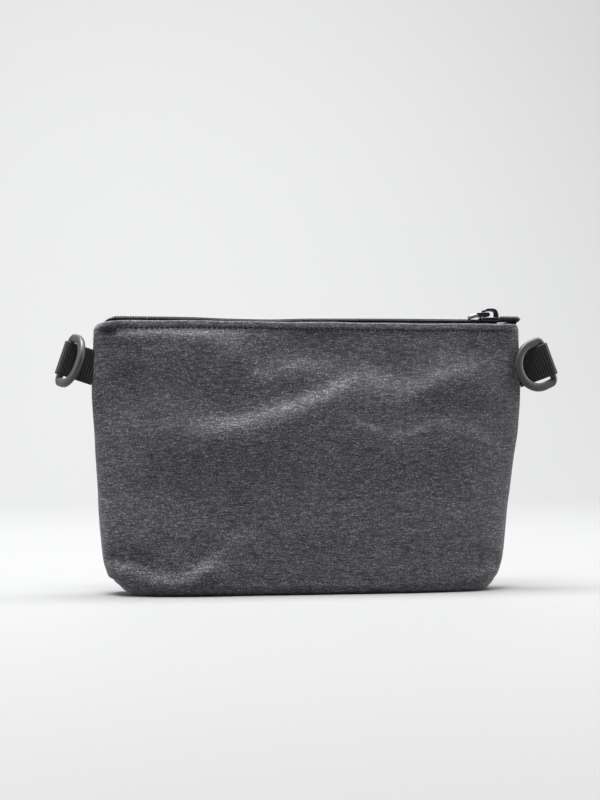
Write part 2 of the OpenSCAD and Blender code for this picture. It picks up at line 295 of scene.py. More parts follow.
def fix_normals(o):
    bm = bmesh.new()
    bm.from_mesh(o.data)
    bmesh.ops.recalc_face_normals(bm, faces=bm.faces)
    bm.to_mesh(o.data)
    bm.free()
    return o


# ---------------------------------------------------------------- materials
def socket(node, name, value):
    node.inputs[name].default_value = value


def lin(c):
    """sRGB 0..255 to linear."""
    f = lambda v: v / 12.92 if v <= 0.04045 else ((v + 0.055) / 1.055) ** 2.4
    return tuple(f(x / 255.0) for x in c) + (1.0,)


class Mat:
    def __init__(self, name, rough=0.8, spec=0.5):
        self.m = bpy.data.materials.new(name)
        self.m.use_nodes = True
        self.t = self.m.node_tree
        self.b = self.t.nodes["Principled BSDF"]
        socket(self.b, "Roughness", rough)
        socket(self.b, "Specular IOR Level", spec)

    def n(self, kind, **kw):
        x = self.t.nodes.new(kind)
        for k, v in kw.items():
            setattr(x, k, v)
        return x

    def l(self, a, b):
        self.t.links.new(a, b)

    def uv(self, sx, sy, rot=0.0):
        c = self.n("ShaderNodeTexCoord")
        m = self.n("ShaderNodeMapping")
        m.inputs["Scale"].default_value = (sx, sy, 1)
        m.inputs["Rotation"].default_value = (0, 0, rot)
        self.l(c.outputs["UV"], m.inputs["Vector"])
        return m.outputs["Vector"]

    def obj(self, sx, sy, sz):
        c = self.n("ShaderNodeTexCoord")
        m = self.n("ShaderNodeMapping")
        m.inputs["Scale"].default_value = (sx, sy, sz)
        self.l(c.outputs["Object"], m.inputs["Vector"])
        return m.outputs["Vector"]

    def noise(self, vec, scale=1.0, detail=2.0, rough=0.5):
        x = self.n("ShaderNodeTexNoise")
        socket(x, "Scale", scale)
        socket(x, "Detail", detail)
        socket(x, "Roughness", rough)
        self.l(vec, x.inputs["Vector"])
        return x.outputs["Fac"]

    def ramp(self, fac, stops, interp="LINEAR"):
        x = self.n("ShaderNodeValToRGB")
        x.color_ramp.interpolation = interp
        e = x.color_ramp.elements
        while len(e) < len(stops):
            e.new(0.5)
        for el, (p, c) in zip(e, stops):
            el.position, el.color = p, c
        self.l(fac, x.inputs["Fac"])
        return x.outputs["Color"]

    def mix(self, fac, a, b, mode="MIX"):
        x = self.n("ShaderNodeMix", data_type="RGBA", blend_type=mode)
        if isinstance(fac, float):
            x.inputs[0].default_value = fac
        else:
            self.l(fac, x.inputs[0])
        for s, v in ((6, a), (7, b)):
            if isinstance(v, tuple):
                x.inputs[s].default_value = v
            else:
                self.l(v, x.inputs[s])
        return x.outputs[2]

    def math(self, op, a, b=None, clamp=False):
        x = self.n("ShaderNodeMath", operation=op, use_clamp=clamp)
        for s, v in ((0, a), (1, b)):
            if v is None:
                continue
            if isinstance(v, (int, float)):
                x.inputs[s].default_value = v
            else:
                self.l(v, x.inputs[s])
        return x.outputs[0]

    def wave(self, vec, scale, direction="X"):
        x = self.n("ShaderNodeTexWave", wave_type="BANDS", bands_direction=direction, wave_profile="SIN")
        socket(x, "Scale", scale)
        socket(x, "Distortion", 0.0)
        self.l(vec, x.inputs["Vector"])
        return x.outputs["Fac"]

    def bump(self, height, strength, dist, under=None):
        x = self.n("ShaderNodeBump")
        socket(x, "Strength", strength)
        socket(x, "Distance", dist)
        self.l(height, x.inputs["Height"])
        if under is not None:
            self.l(under, x.inputs["Normal"])
        return x.outputs["Normal"]


def weave_height(m, vec_in, pitch):
    """Plain weave height from coordinates in millimetres."""
    k = 2 * math.pi / (20.0 * pitch) * 10 / math.pi
    a = m.wave(vec_in, k / 2, "X")
    b = m.wave(vec_in, k / 2, "Y")
    p = m.math("MULTIPLY", a, b)
    q = m.math("MULTIPLY", m.math("SUBTRACT", 1.0, a), m.math("SUBTRACT", 1.0, b))
    return m.math("ADD", p, q)


def yarn_cells(m, length, pitch):
    """A random tone for each float of yarn, laid like bricks."""
    c = m.n("ShaderNodeTexCoord")
    x = m.n("ShaderNodeSeparateXYZ")
    m.l(c.outputs["UV"], x.inputs[0])
    row = m.math("FLOOR", m.math("DIVIDE", x.outputs["Y"], pitch))
    col = m.math("FLOOR", m.math("ADD", m.math("DIVIDE", x.outputs["X"], length), m.math("MULTIPLY", row, 0.5)))
    v = m.n("ShaderNodeCombineXYZ")
    m.l(col, v.inputs[0])
    m.l(row, v.inputs[1])
    w = m.n("ShaderNodeTexWhiteNoise", noise_dimensions="2D")
    m.l(v.outputs[0], w.inputs["Vector"])
    return w.outputs["Value"]


def heather(name, dark, mid, light, turn=0.0):
    m = Mat(name, rough=0.86, spec=0.25)
    # weft yarns: short horizontal slubs; warp yarns: finer vertical flecks
    weft = m.noise(m.uv(0.34, 2.1), 1.0, 3.0, 0.62)
    weft2 = m.noise(m.uv(0.12, 1.35), 1.0, 2.0, 0.5)
    warp = m.noise(m.uv(1.9, 0.55), 1.0, 2.0, 0.6)
    fleck = m.noise(m.uv(1.3, 1.6), 1.0, 4.0, 0.7)
    cloud = m.noise(m.uv(0.012, 0.014), 1.0, 2.0, 0.5)
    cell = yarn_cells(m, 0.62, 0.33)
    dash = yarn_cells(m, 3.2, 0.40)
    t = m.math("ADD", m.math("MULTIPLY", weft, 0.09), m.math("MULTIPLY", warp, 0.05))
    t = m.math("ADD", t, m.math("MULTIPLY", fleck, 0.08))
    t = m.math("ADD", t, m.math("MULTIPLY", weft2, 0.04))
    t = m.math("ADD", t, m.math("MULTIPLY", cell, 0.52))
    s = m.math("ADD", t, m.math("MULTIPLY", dash, 0.22))
    base = m.ramp(s, [(0.16, dark), (0.40, mid), (0.60, mid), (0.86, light)])
    deep = m.ramp(dash, [(0.06, (0.72, 0.72, 0.72, 1)), (0.16, (1.0, 1.0, 1.0, 1))])
    base = m.mix(1.0, base, deep, "MULTIPLY")
    tint = m.ramp(cloud, [(0.3, (0.93, 0.93, 0.94, 1)), (0.7, (1.05, 1.05, 1.05, 1))])
    col = m.mix(1.0, base, tint, "MULTIPLY")
    w = weave_height(m, m.uv(1, 1), 0.62)
    shade = m.ramp(w, [(0.0, (0.80, 0.80, 0.80, 1)), (0.7, (1.06, 1.06, 1.06, 1))])
    col = m.mix(1.0, col, shade, "MULTIPLY")
    m.l(col, m.b.inputs["Base Color"])
    h = m.math("ADD", m.math("MULTIPLY", w, 0.7), m.math("MULTIPLY", s, 0.9))
    m.l(m.bump(h, 0.40, 0.0002), m.b.inputs["Normal"])
    r = m.math("ADD", 0.78, m.math("MULTIPLY", fleck, 0.16))
    m.l(r, m.b.inputs["Roughness"])
    socket(m.b, "Sheen Weight", 0.35)
    socket(m.b, "Sheen Roughness", 0.45)
    socket(m.b, "Sheen Tint", (0.75, 0.76, 0.8, 1))
    return m.m


def plain_cloth(name, dark, light, pitch=0.45, bump=0.5, sheen=0.2, rough=0.85):
    m = Mat(name, rough=rough, spec=0.3)
    f = m.noise(m.uv(0.8, 2.0), 1.0, 3.0, 0.6)
    w = weave_height(m, m.uv(1, 1), pitch)
    base = m.ramp(f, [(0.35, dark), (0.65, light)])
    shade = m.ramp(w, [(0.0, (0.62, 0.62, 0.62, 1)), (0.8, (1.1, 1.1, 1.1, 1))])
    m.l(m.mix(1.0, base, shade, "MULTIPLY"), m.b.inputs["Base Color"])
    m.l(m.bump(m.math("ADD", w, m.math("MULTIPLY", f, 0.5)), bump, 0.0002), m.b.inputs["Normal"])
    m.l(m.math("ADD", rough - 0.08, m.math("MULTIPLY", f, 0.16)), m.b.inputs["Roughness"])
    socket(m.b, "Sheen Weight", sheen)
    socket(m.b, "Sheen Roughness", 0.5)
    return m.m


def webbing_mat():
    m = Mat("webbing_weave", rough=0.7, spec=0.25)
    # columns across the strap, with a light yarn crossing each one in dots
    col = m.wave(m.uv(1, 1), 1.0 / 1.55 * 0.314159, "X")
    dots = m.wave(m.uv(1, 1), 1.0 / 0.95 * 0.314159, "Y")
    f = m.noise(m.uv(2.0, 2.0), 1.0, 3.0, 0.6)
    lift = m.math("MULTIPLY", m.math("POWER", col, 2.2), m.math("POWER", dots, 1.4))
    k = m.math("ADD", m.math("MULTIPLY", lift, 0.8), m.math("MULTIPLY", f, 0.35))
    base = m.ramp(k, [(0.15, lin((4, 4, 4))), (0.5, lin((12, 12, 11))), (0.98, lin((104, 103, 95)))])
    m.l(base, m.b.inputs["Base Color"])
    m.l(m.bump(m.math("ADD", lift, m.math("MULTIPLY", f, 0.4)), 0.6, 0.0002), m.b.inputs["Normal"])
    m.l(m.math("ADD", 0.5, m.math("MULTIPLY", f, 0.25)), m.b.inputs["Roughness"])
    socket(m.b, "Sheen Weight", 0.15)
    return m.m


def moulded(name, color, rough, spread=0.08, grain=0.35):
    m = Mat(name, rough=rough, spec=0.5)
    f = m.noise(m.obj(900, 900, 900), 1.0, 3.0, 0.6)
    g = m.noise(m.obj(60, 60, 60), 1.0, 2.0, 0.5)
    a = tuple(c * 0.88 for c in color[:3]) + (1,)
    b = tuple(c * 1.14 for c in color[:3]) + (1,)
    m.l(m.ramp(g, [(0.3, a), (0.7, b)]), m.b.inputs["Base Color"])
    m.l(m.math("ADD", rough - spread, m.math("MULTIPLY", f, 2 * spread)), m.b.inputs["Roughness"])
    m.l(m.bump(f, grain, 0.00003), m.b.inputs["Normal"])
    return m.m


def metal(name, color, rough):
    m = Mat(name, rough=rough, spec=0.5)
    socket(m.b, "Metallic", 1.0)
    f = m.noise(m.obj(300, 900, 500), 1.0, 3.0, 0.6)
    g = m.noise(m.obj(120, 120, 120), 1.0, 2.0, 0.5)
    a = tuple(c * 0.8 for c in color[:3]) + (1,)
    b = tuple(c * 1.2 for c in color[:3]) + (1,)
    m.l(m.ramp(g, [(0.3, a), (0.7, b)]), m.b.inputs["Base Color"])
    m.l(m.math("ADD", rough - 0.05, m.math("MULTIPLY", f, 0.12)), m.b.inputs["Roughness"])
    m.l(m.bump(f, 0.15, 0.00002), m.b.inputs["Normal"])
    return m.m


M_CLOTH = heather("heather_canvas", lin((25, 24, 27)), lin((67, 66, 70)), lin((140, 138, 145)))
M_LINING = plain_cloth("lining_weave", lin((26, 26, 28)), lin((44, 44, 48)), 0.32, 0.35, 0.15, 0.7)
M_BINDING = plain_cloth("binding_weave", lin((16, 16, 17)), lin((34, 34, 35)), 0.5, 0.6, 0.2, 0.85)
M_TAPE = plain_cloth("zip_tape_weave", lin((7, 7, 8)), lin((17, 17, 18)), 0.5, 0.7, 0.05, 0.9)
M_COIL = moulded("nylon_coil", lin((28, 28, 29)), 0.3, 0.05, 0.1)
M_THREAD = plain_cloth("sewing_thread", lin((10, 10, 11)), lin((24, 24, 26)), 0.25, 0.5, 0.1, 0.75)
M_ZTHREAD = plain_cloth("zip_thread", lin((8, 8, 8)), lin((22, 22, 22)), 0.25, 0.5, 0.05, 0.8)
M_WEB = webbing_mat()
M_RING = moulded("ring_plastic_satin", lin((52, 51, 52)), 0.45, 0.06, 0.2)
M_METAL = metal("black_nickel", lin((84, 84, 88)), 0.2)
# pull plate: the same black nickel as the arms, with a lighter base colour that is a painted reflection of the white
# surroundings
M_PULL_PLATE_PAINTED_REFLECTION = metal("nickel_painted_reflection", lin((146, 146, 148)), 0.5)
for mat_, level in ((M_THREAD, 0.06), (M_ZTHREAD, 0.1), (M_TAPE, 0.08), (M_COIL, 0.3), (M_BINDING, 0.1)):
    socket(next(n for n in mat_.node_tree.nodes if n.type == "BSDF_PRINCIPLED"), "Specular IOR Level", level)
M_FOAM = plain_cloth("foam_face", lin((120, 120, 122)), lin((150, 150, 150)), 0.8, 0.4, 0.1, 0.95)


def give(o, mat):
    o.data.materials.clear()
    o.data.materials.append(mat)
    return o


def open_with_mouth(o):
    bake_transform(o)
    co = np.zeros(len(o.data.vertices) * 3, np.float32)
    o.data.vertices.foreach_get("co", co)
    return o


def settle(o, s, *nodes, slot=None):
    """Front pieces have their transform baked in; the others stay with the case."""
    if s < 0:
        open_with_mouth(o)
    else:
        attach(o, "case")
    if nodes:
        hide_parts(*nodes)
    return o


# ---------------------------------------------------------------- cloth walls
def wall(s, name):
    n = 420
    a = np.linspace(-90, 90, n)
    rows = []  # (z, inset)
    for z in np.concatenate([np.linspace(0.35, 3.2, 8), np.linspace(3.9, 148, 168), np.linspace(148.5, 155.95, 32)]):
        rows.append((z, 0.0))
    R = 0.95
    for f in np.linspace(10, 170, 12):
        fr = math.radians(f)
        rows.append((156.0 + R * math.sin(fr), R * (1 - math.cos(fr))))
    for z in (155.8, 155.2, 154.3, 153.2, 151, 148.6, 146):
        rows.append((z, 2 * R))
    zz = np.array([r[0] for r in rows])
    ee = np.array([r[1] for r in rows])
    A, Z = np.meshgrid(np.radians(a), zz)
    _, E = np.meshgrid(a, ee)
    X = (hw(Z) - E) * np.sin(A)
    Y = s * (0.15 + depth(X, Z, E))
    H = relief(X, Y, np.minimum(Z, 158), s)
    nx, ny, nz = surface_normals(X, Y, Z, s)
    X0 = X
    side = np.where(E > R, -1.0, 1.0)
    X, Y, Z2 = X + nx * H * side, Y + ny * H * side, Z + nz * H * side
    Y = Y - s * 0.2 * np.clip((Z - 154.4) / 2.5, 0, 1) ** 1.2
    lo = np.minimum(Y, -0.12) if s < 0 else np.maximum(Y, 0.12)
    Y = lo
    Z2 = Z2 + top_line(X) * sstep(120, 157, Z)
    Z2 = np.maximum(Z2, 0.3) + corner_lift(X, Z)
    X = X + lean(Z) + top_corner(X0, Z)
    P = np.stack([X, Y, Z2], -1).reshape(-1, 3)
    du = np.concatenate([np.zeros((len(zz), 1)), np.cumsum(np.hypot(np.diff(X, axis=1), np.diff(Y, axis=1)), 1)], 1)
    du = du - du[:, n // 2:n // 2 + 1]
    dv = np.concatenate([[0], np.cumsum(np.hypot(np.diff(zz), np.diff(ee)))])
    U = np.stack([du, np.repeat(dv[:, None], n, 1)], -1).reshape(-1, 2)
    o = mesh_object(name, P, grid_faces(n, len(zz), flip=s > 0), U)
    return give(o, M_CLOTH)


def surface_normals(X, Y, Z, s):
    P = np.stack([X, Y, Z], -1)
    du = np.gradient(P, axis=1)
    dv = np.gradient(P, axis=0)
    N = np.cross(du, dv) * (1 if s < 0 else -1)
    N /= np.linalg.norm(N, axis=-1, keepdims=True) + 1e-9
    # at the seams the cloth edges face each other: push out sideways only
    N[:, 0] = N[:, 1]
    N[:, -1] = N[:, -2]
    return N[..., 0], N[..., 1], N[..., 2]


front = wall(-1, "front_wall_cloth")
settle(front, -1, "front_panel", "front_padding", slot="cloth")
back = wall(1, "back_wall_cloth")
settle(back, 1, "back_panel", "back_padding", slot="cloth")


def base():
    """Cloth base: flat underneath, turned up inside the walls."""
    ring = []
    n = 200
    a = np.linspace(-math.pi, math.pi, n, endpoint=False)
    rows = [(0.0, 12.0), (0.0, 8.0), (0.02, 4.0), (0.05, 2.6), (0.3, 1.6), (0.9, 1.1), (1.7, 1.0), (2.4, 1.05)]
    V, U = [], []
    for z, e in rows:
        w = hw(np.array([max(z, 0.3)]))[0] - e
        x = w * np.sin(a)
        y = np.where(np.abs(a) < math.pi / 2, -1, 1) * (0.15 + depth(x, np.full(n, max(z, 0.3)), e))
        V += list(zip(x + lean(np.full(n, z)), y, z + corner_lift(x, np.full(n, z))))
        U += list(zip(x, y + z))
    F = [tuple(f) for f in grid_faces(n, len(rows), wrap_u=True)]
    F.append(tuple(range(n))[::-1])
    return mesh_object("base_cloth", V, F, U)


b = fix_normals(give(base(), M_CLOTH))
settle(b, 1, "base_panel", "base_padding", slot="cloth")


def lining(s, name):
    n = 160
    a = np.linspace(-90, 90, n)
    zz = np.concatenate([np.linspace(3.2, 150, 90), np.linspace(151, 156.6, 8)])
    A, Z = np.meshgrid(np.radians(a), zz)
    E = np.full(Z.shape, 3.75)
    X = (hw(Z) - E) * np.sin(A)
    Y = s * (0.15 + depth(X, Z, E))
    px = 0.5 * value_noise(X / 17 + 3, Z / 26 + 7, 31 + s) + 0.25 * value_noise(X / 7 + 13, Z / 12 + 2, 33 + s)
    Y = Y - s * np.abs(px) * (1 - sstep(0.93, 1, np.abs(X) / hw(Z))) * (1 - sstep(140, 150, Z))
    P = np.stack([X + lean(Z) + top_corner(X, Z), Y, Z], -1).reshape(-1, 3)
    U = np.stack([X, Z], -1).reshape(-1, 2)
    o = mesh_object(name, P, grid_faces(n, len(zz), flip=s > 0), U)
    m = o.modifiers.new("thick", "SOLIDIFY")
    m.thickness, m.offset = 0.0004, 0
    return give(o, M_LINING)


def apply_mods(o):
    dg = bpy.context.evaluated_depsgraph_get()
    me = bpy.data.meshes.new_from_object(o.evaluated_get(dg))
    o.modifiers.clear()
    o.data = me
    return o


settle(apply_mods(lining(-1, "lining_front")), -1, "front_lining", slot="lining")
settle(apply_mods(lining(1, "lining_back")), 1, "back_lining", slot="lining")


# ---------------------------------------------------------------- stitches
def tube(path, r, sides=6, closed=False, flat=1.0):
    """Vertices and faces of a round tube along a path of points."""
    P = np.asarray(path, float)
    n = len(P)
    if closed:
        T = np.roll(P, -1, 0) - np.roll(P, 1, 0)
    else:
        T = np.gradient(P, axis=0)
    T /= np.linalg.norm(T, axis=1, keepdims=True) + 1e-12
    up = np.array([0.0, 0.0, 1.0]) if abs(T[0, 2]) < 0.9 else np.array([0.0, 1.0, 0.0])
    N = np.zeros_like(P)
    v = up - T[0] * (up @ T[0])
    v /= np.linalg.norm(v)
    for i in range(n):
        v = v - T[i] * (v @ T[i])
        v /= np.linalg.norm(v) + 1e-12
        N[i] = v
    B = np.cross(T, N)
    rr = np.broadcast_to(np.asarray(r, float), (n,))
    th = np.linspace(0, 2 * math.pi, sides, endpoint=False)
    V = (P[:, None] + rr[:, None, None] * (np.cos(th)[None, :, None] * N[:, None] * flat + np.sin(th)[None, :, None] * B[:, None]))
    F = [tuple(f) for f in grid_faces(sides, n, wrap_u=True, wrap_v=closed)]
    if not closed:
        F.append(tuple(range(sides))[::-1])
        F.append(tuple((n - 1) * sides + k for k in range(sides)))
    return V.reshape(-1, 3), F


def gather(name, parts, mat, uvscale=1.0):
    V, F, k = [], [], 0
    for v, f in parts:
        V.append(np.asarray(v))
        F += [tuple(int(i) + k for i in q) for q in f]
        k += len(v)
    V = np.concatenate(V)
    U = np.stack([V[:, 0] + V[:, 1], V[:, 2] + 0.5 * V[:, 1]], -1) * uvscale
    return fix_normals(give(mesh_object(name, V, F, U), mat))


def cloth_point(x, z, s, out=0.0):
    x, z = np.asarray(x, float), np.asarray(z, float)
    y = s * (0.15 + depth(x, z, 0.0))
    h = relief(x, y, z, s) + out
    return np.stack([x + top_corner(x, z), y + s * h, z + top_line(x) * sstep(120, 157, z)], -1)


def stitches(s, name):
    parts = []
    for x in np.arange(-120.0, 121.0, 3.0):
        t = np.linspace(-1, 1, 7)
        xs = x + 1.12 * t
        zs = row_z(xs) + 0.06 * math.sin(x * 3.1)
        p = cloth_point(xs, zs, s, 0.2)
        p[:, 1] += s * (0.14 * (1 - t ** 4) - 0.22 * t ** 8)
        parts.append(tube(p, 0.25, 6))
    if s < 0:  # bar tack that locks the row at the zip's start
        for k, (xc, w_, dz) in enumerate(((-118.6, 4.9, 0.0), (-119.4, 3.6, -0.35), (-117.6, 3.4, 0.32), (-121.6, 1.9, 0.2))):
            t = np.linspace(-1, 1, 13)
            p = cloth_point(xc + w_ * t, 152.0 + dz - 0.6 * t - 0.6 * np.cos(t * 1.9), s, 0.45)
            p[:, 1] += s * (0.16 * (1 - t ** 6))
            parts.append(tube(p, 0.4, 6))
    return gather(name, parts, M_THREAD, 2.0)


settle(stitches(-1, "topstitch_front_thread"), -1, "topstitch_front", slot="thread")
settle(stitches(1, "topstitch_back_thread"), 1, "topstitch_back", slot="thread")

# ---------------------------------------------------------------- zip
ZIP_Z = [[-120, 152.4], [-119, 153.4], [-117.5, 155.2], [-116, 156.3], [-113.5, 157.1], [-109, 157.3], [-100, 157.28],
         [-88, 157.28], [-70, 157.15], [-45, 156.4], [-25, 156.2], [0, 156.9], [60, 157.3], [100, 157.3], [112, 157.4], [115, 157.8], [118, 158.5], [121, 158.9], [125, 158.9]]
ZIP_GAP = [[-120, 0], [100, 0], [103, 0.08], [105, 0.3], [107, 0.7], [108.5, 1.15], [110, 1.45], [112, 1.65], [115, 1.55], [119, 1.0], [124.4, 0.4]]


def zip_z(x):
    return smooth_table(np.asarray(x, float) / KX, ZIP_Z)


def zip_gap(x):
    return smooth_table(np.asarray(x, float) / KX, ZIP_GAP)


def coil(s, name):
    """One row of the coil: a monofilament wound in flat loops."""
    pitch, r, w, h = 1.5, 0.36, 3.05, 2.3
    x0, x1 = -120.2, 126.6
    loops = int((x1 - x0) / pitch)
    m = 18
    t = np.arange(loops * m + 1) / m
    ph = 2 * math.pi * t
    # flat loop: a rounded rectangle section, its head towards the middle
    c, sn = np.cos(ph), np.sin(ph)
    sq = lambda v, p: np.sign(v) * np.abs(v) ** p
    yy = 0.5 + 0.5 * sq(c, 0.62)
    zz = 0.5 + 0.5 * sq(sn, 0.62)
    x = x0 + t * pitch + (0.5 * pitch if s > 0 else 0.0)
    slant = 0.30 * (yy - 0.5) * np.sign(sn)
    ends = sstep(-120.2, -114.8, x)
    ww = (w - 2 * r) * (0.62 + 0.38 * ends)
    y = zip_gap(x) + r - 0.42 * (1 - sstep(104, 107, x)) + yy * ww
    free = sstep(112.2, 114.4, x)
    tall = (h - 2 * r) * (0.75 + 0.25 * ends) * (1 + 0.92 * free)
    blunt = np.sqrt(np.clip(1 - (np.clip(x - 125.0, 0, 1.7) / 2.0) ** 2, 0, 1))
    mid = (zip_z(x) + 0.62 + r + 0.5 * tall) * (1 - free) + 160.6 * free
    z = mid + (zz - 0.5) * tall * blunt
    x = x + slant + free * 0.45 * np.sin(ph)
    head = gauss(yy, 0, 0.16)
    v, f = tube(np.stack([x, s * y, z], -1), r * (1 + 0.22 * head), 7)
    parts = [(v, f)]
    # filler cord inside the loops
    xs = np.linspace(x0, x1, 260)
    fat = sstep(112.2, 114.4, xs)
    cord = (zip_z(xs) + 1.74) * (1 - fat) + 160.6 * fat
    parts.append(tube(np.stack([xs, s * (zip_gap(xs) + 1.55), cord], -1), (0.62 + 0.5 * fat) * (1 - 0.35 * sstep(125, 126.6, xs)), 10))
    o = gather(name, parts, M_COIL)
    return o


def coil_thread(s, name):
    """Two rows of stitches that hold the coil to its tape."""
    parts = []
    for off in (1.38, 2.2):
        xs = np.arange(-114.8, 115.0, 0.15)
        z = zip_z(xs) + 0.62 + 2.21 + 0.13 * np.cos(2 * math.pi * xs / 1.5)
        y = zip_gap(xs) + off + 0.12 * np.sin(2 * math.pi * xs / 3.0)
        parts.append(tube(np.stack([xs, s * y, z], -1), 0.15, 5))
    return gather(name, parts, M_ZTHREAD, 2.0)


def tape(s, name):
    """Woven tape, flat at the coil and turned down inside the hem."""
    xs = np.linspace(-118.6, 122.4, 420) * KX
    z = zip_z(xs)
    a = zip_gap(xs) + 0.12
    b = table(xs / KX, [[-119, 2.0], [-116, 2.8], [-112, 4.3], [-108, 5.6], [-104, 5.6], [107, 5.6], [109, 5.4], [113, 5.0], [118, 3.6], [124.4, 2.6]])
    leg = table(xs / KX, [[-114, 0.2], [-108, 7.8], [104, 7.8], [107, 1.6], [112, 2.2], [115, 3.2], [120.6, 3.2], [121.8, 1.4], [122.3, 0.4]])
    th = 0.5
    sec = []
    wob = 0.05 * np.sin(xs * 2.1)
    for k in range(8):
        f = k / 7
        sec.append((a + (b - 0.45 - a) * f, z + th + wob * f * (1 - f) * 4 + 0.0 * f))
    for q in (30, 60):
        qr = math.radians(q)
        sec.append((b - 0.45 + 0.45 * math.sin(qr), z + th - 0.45 * (1 - math.cos(qr))))
    sec.append((b, z + th - 0.5))
    sec.append((b, z + th - 0.5 - leg * 0.5))
    sec.append((b, z + th - 0.5 - leg))
    sec.append((b - 0.42, z + th - 0.5 - leg))
    sec.append((b - 0.42, z + th - 0.5 - leg * 0.5))
    sec.append((b - 0.42, z - 0.02))
    sec.append((b - 0.6, z + 0.05))
    sec.append((a + (b - a) * 0.5, z + 0.05))
    sec.append((a, z + 0.05))
    Y = np.stack([p[0] for p in sec], 1) * s
    Z = np.stack([p[1] for p in sec], 1)
    X = np.repeat(xs[:, None], len(sec), 1)
    m = len(sec)
    V = np.stack([X, Y, Z], -1).reshape(-1, 3)
    F = [tuple(f) for f in grid_faces(m, len(xs), wrap_u=True)]
    F += [tuple(range(m)), tuple((len(xs) - 1) * m + k for k in range(m))[::-1]]
    d = np.cumsum(np.r_[0, np.hypot(np.diff(Y[200]), np.diff(Z[200]))])
    U = np.stack([X, np.repeat(d[None], len(xs), 0)], -1).reshape(-1, 2)
    return fix_normals(give(mesh_object(name, V, F, U), M_TAPE))


for s, side in ((-1, "front"), (1, "back")):
    settle(coil(s, f"coil_{side}_loops"), s, f"zipper_coil_{side}", slot="coil")
    settle(coil_thread(s, f"coil_{side}_thread"), s, slot="zip_tape")
    settle(tape(s, f"tape_{side}_woven"), s, f"zipper_tape_{side}", slot="zip_tape")

# ---------------------------------------------------------------- slider
SLX = (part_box("slider_body")[0].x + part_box("slider_body")[1].x) * 500
ZB, ZT = 155.9, 160.65
SL = 12.0


def prism(outline, z0, z1, bevel, seg=3, hole=None):
    """A plate with rounded edges from an outline in millimetres."""
    bm = bmesh.new()
    vs = [bm.verts.new((x * MM, y * MM, z0 * MM)) for x, y in outline]
    f = bm.faces.new(vs)
    r = bmesh.ops.extrude_face_region(bm, geom=[f])
    for v in r["geom"]:
        if isinstance(v, bmesh.types.BMVert):
            v.co.z = z1 * MM
    bmesh.ops.recalc_face_normals(bm, faces=bm.faces)
    edges = [e for e in bm.edges if e.calc_face_angle(0) > 0.3]
    bmesh.ops.bevel(bm, geom=edges, offset=bevel * MM, segments=seg, profile=0.5, affect="EDGES", clamp_overlap=True)
    me = bpy.data.meshes.new("p")
    bm.to_mesh(me)
    bm.free()
    V = np.array([v.co[:] for v in me.vertices]) / MM
    F = [tuple(p.vertices) for p in me.polygons]
    bpy.data.meshes.remove(me)
    return V, F


def round_outline(pts, r=0.5, k=5):
    """Rounds each corner of a closed outline."""
    out = []
    n = len(pts)
    for i in range(n):
        p0, p, p1 = (np.array(pts[(i + j) % n], float) for j in (-1, 0, 1))
        a, b = p0 - p, p1 - p
        la, lb = np.linalg.norm(a), np.linalg.norm(b)
        q = min(r, la * 0.45, lb * 0.45)
        s_, e_ = p + a / la * q, p + b / lb * q
        for j in range(k):
            t = j / (k - 1)
            out.append(tuple((1 - t) ** 2 * s_ + 2 * t * (1 - t) * p + t * t * e_))
    return out


def shift(part, dx=0.0, dy=0.0, dz=0.0):
    v, f = part
    return np.asarray(v) + np.array([dx, dy, dz]), f


def swap_yz(part):
    v, f = part
    v = np.asarray(v)
    return np.stack([v[:, 0], v[:, 2], v[:, 1]], -1), f


half = [(-SL / 2, -3.1), (-SL / 2 + 0.8, -4.2), (0, -4.85), (3.2, -5.45), (SL / 2 - 1.0, -5.45), (SL / 2, -4.4)]
notch = [(SL / 2 - 0.2, -1.7), (SL / 2 - 1.0, 0.0), (SL / 2 - 0.2, 1.7)]
plate = round_outline(half + notch + [(x, -y) for x, y in half[::-1]], 0.7)
parts = [prism(plate, ZT, ZT + 0.85, 0.28, 4), prism(plate, ZB, ZB + 0.85, 0.25, 3)]
for sg in (-1, 1):
    fl = [(-SL / 2 + 0.7, 3.5), (-1, 3.75), (2.6, 4.8), (SL / 2 - 1.0, 4.8), (SL / 2 - 1.0, 5.45), (3.2, 5.45), (0, 4.85), (-SL / 2 + 0.7, 4.15)]
    fl = [(x, sg * y) for x, y in fl]
    if sg < 0:
        fl = fl[::-1]
    parts.append(prism(fl, ZT - 1.45, ZT + 0.5, 0.15, 3))
    parts.append(prism(fl, ZB + 0.3, ZB + 1.15, 0.12, 2))
parts.append(prism([(-0.6, 0), (2.4, -1.0), (4.3, -1.0), (4.3, 1.0), (2.4, 1.0)], ZB + 0.5, ZT + 0.4, 0.12, 2))
# bridge: an arch with a flat oval section
ctrl = [(-4.0, ZT + 0.3), (-4.0, 163.2), (-3.85, 164.7), (-2.9, 165.75), (-1.0, 166.25), (1.4, 166.35), (3.1, 166.0), (4.1, 165.0), (4.45, 163.7), (4.5, 162.3), (4.5, ZT + 0.3)]
rad = [0.85, 0.85, 0.85, 0.9, 0.95, 1.05, 1.25, 1.5, 1.6, 1.65, 1.7]
cx = np.array([c[0] for c in ctrl])
cz = np.array([c[1] for c in ctrl])
q = np.linspace(0, len(ctrl) - 1, 60)
bx = np.interp(q, range(len(ctrl)), cx)
bz = np.interp(q, range(len(ctrl)), cz)
br = np.interp(q, range(len(ctrl)), rad)
for it in range(6):
    bx[1:-1] = (bx[:-2] + 2 * bx[1:-1] + bx[2:]) / 4
    bz[1:-1] = (bz[:-2] + 2 * bz[1:-1] + bz[2:]) / 4
tx, tz = np.gradient(bx), np.gradient(bz)
ln = np.hypot(tx, tz)
tx, tz = tx / ln, tz / ln
th = np.linspace(0, 2 * math.pi, 16, endpoint=False)
sqv = lambda v, p: np.sign(v) * np.abs(v) ** p
wid = 1.0 + 0.15 * np.abs(np.linspace(-1, 1, 60)) ** 3
V = []
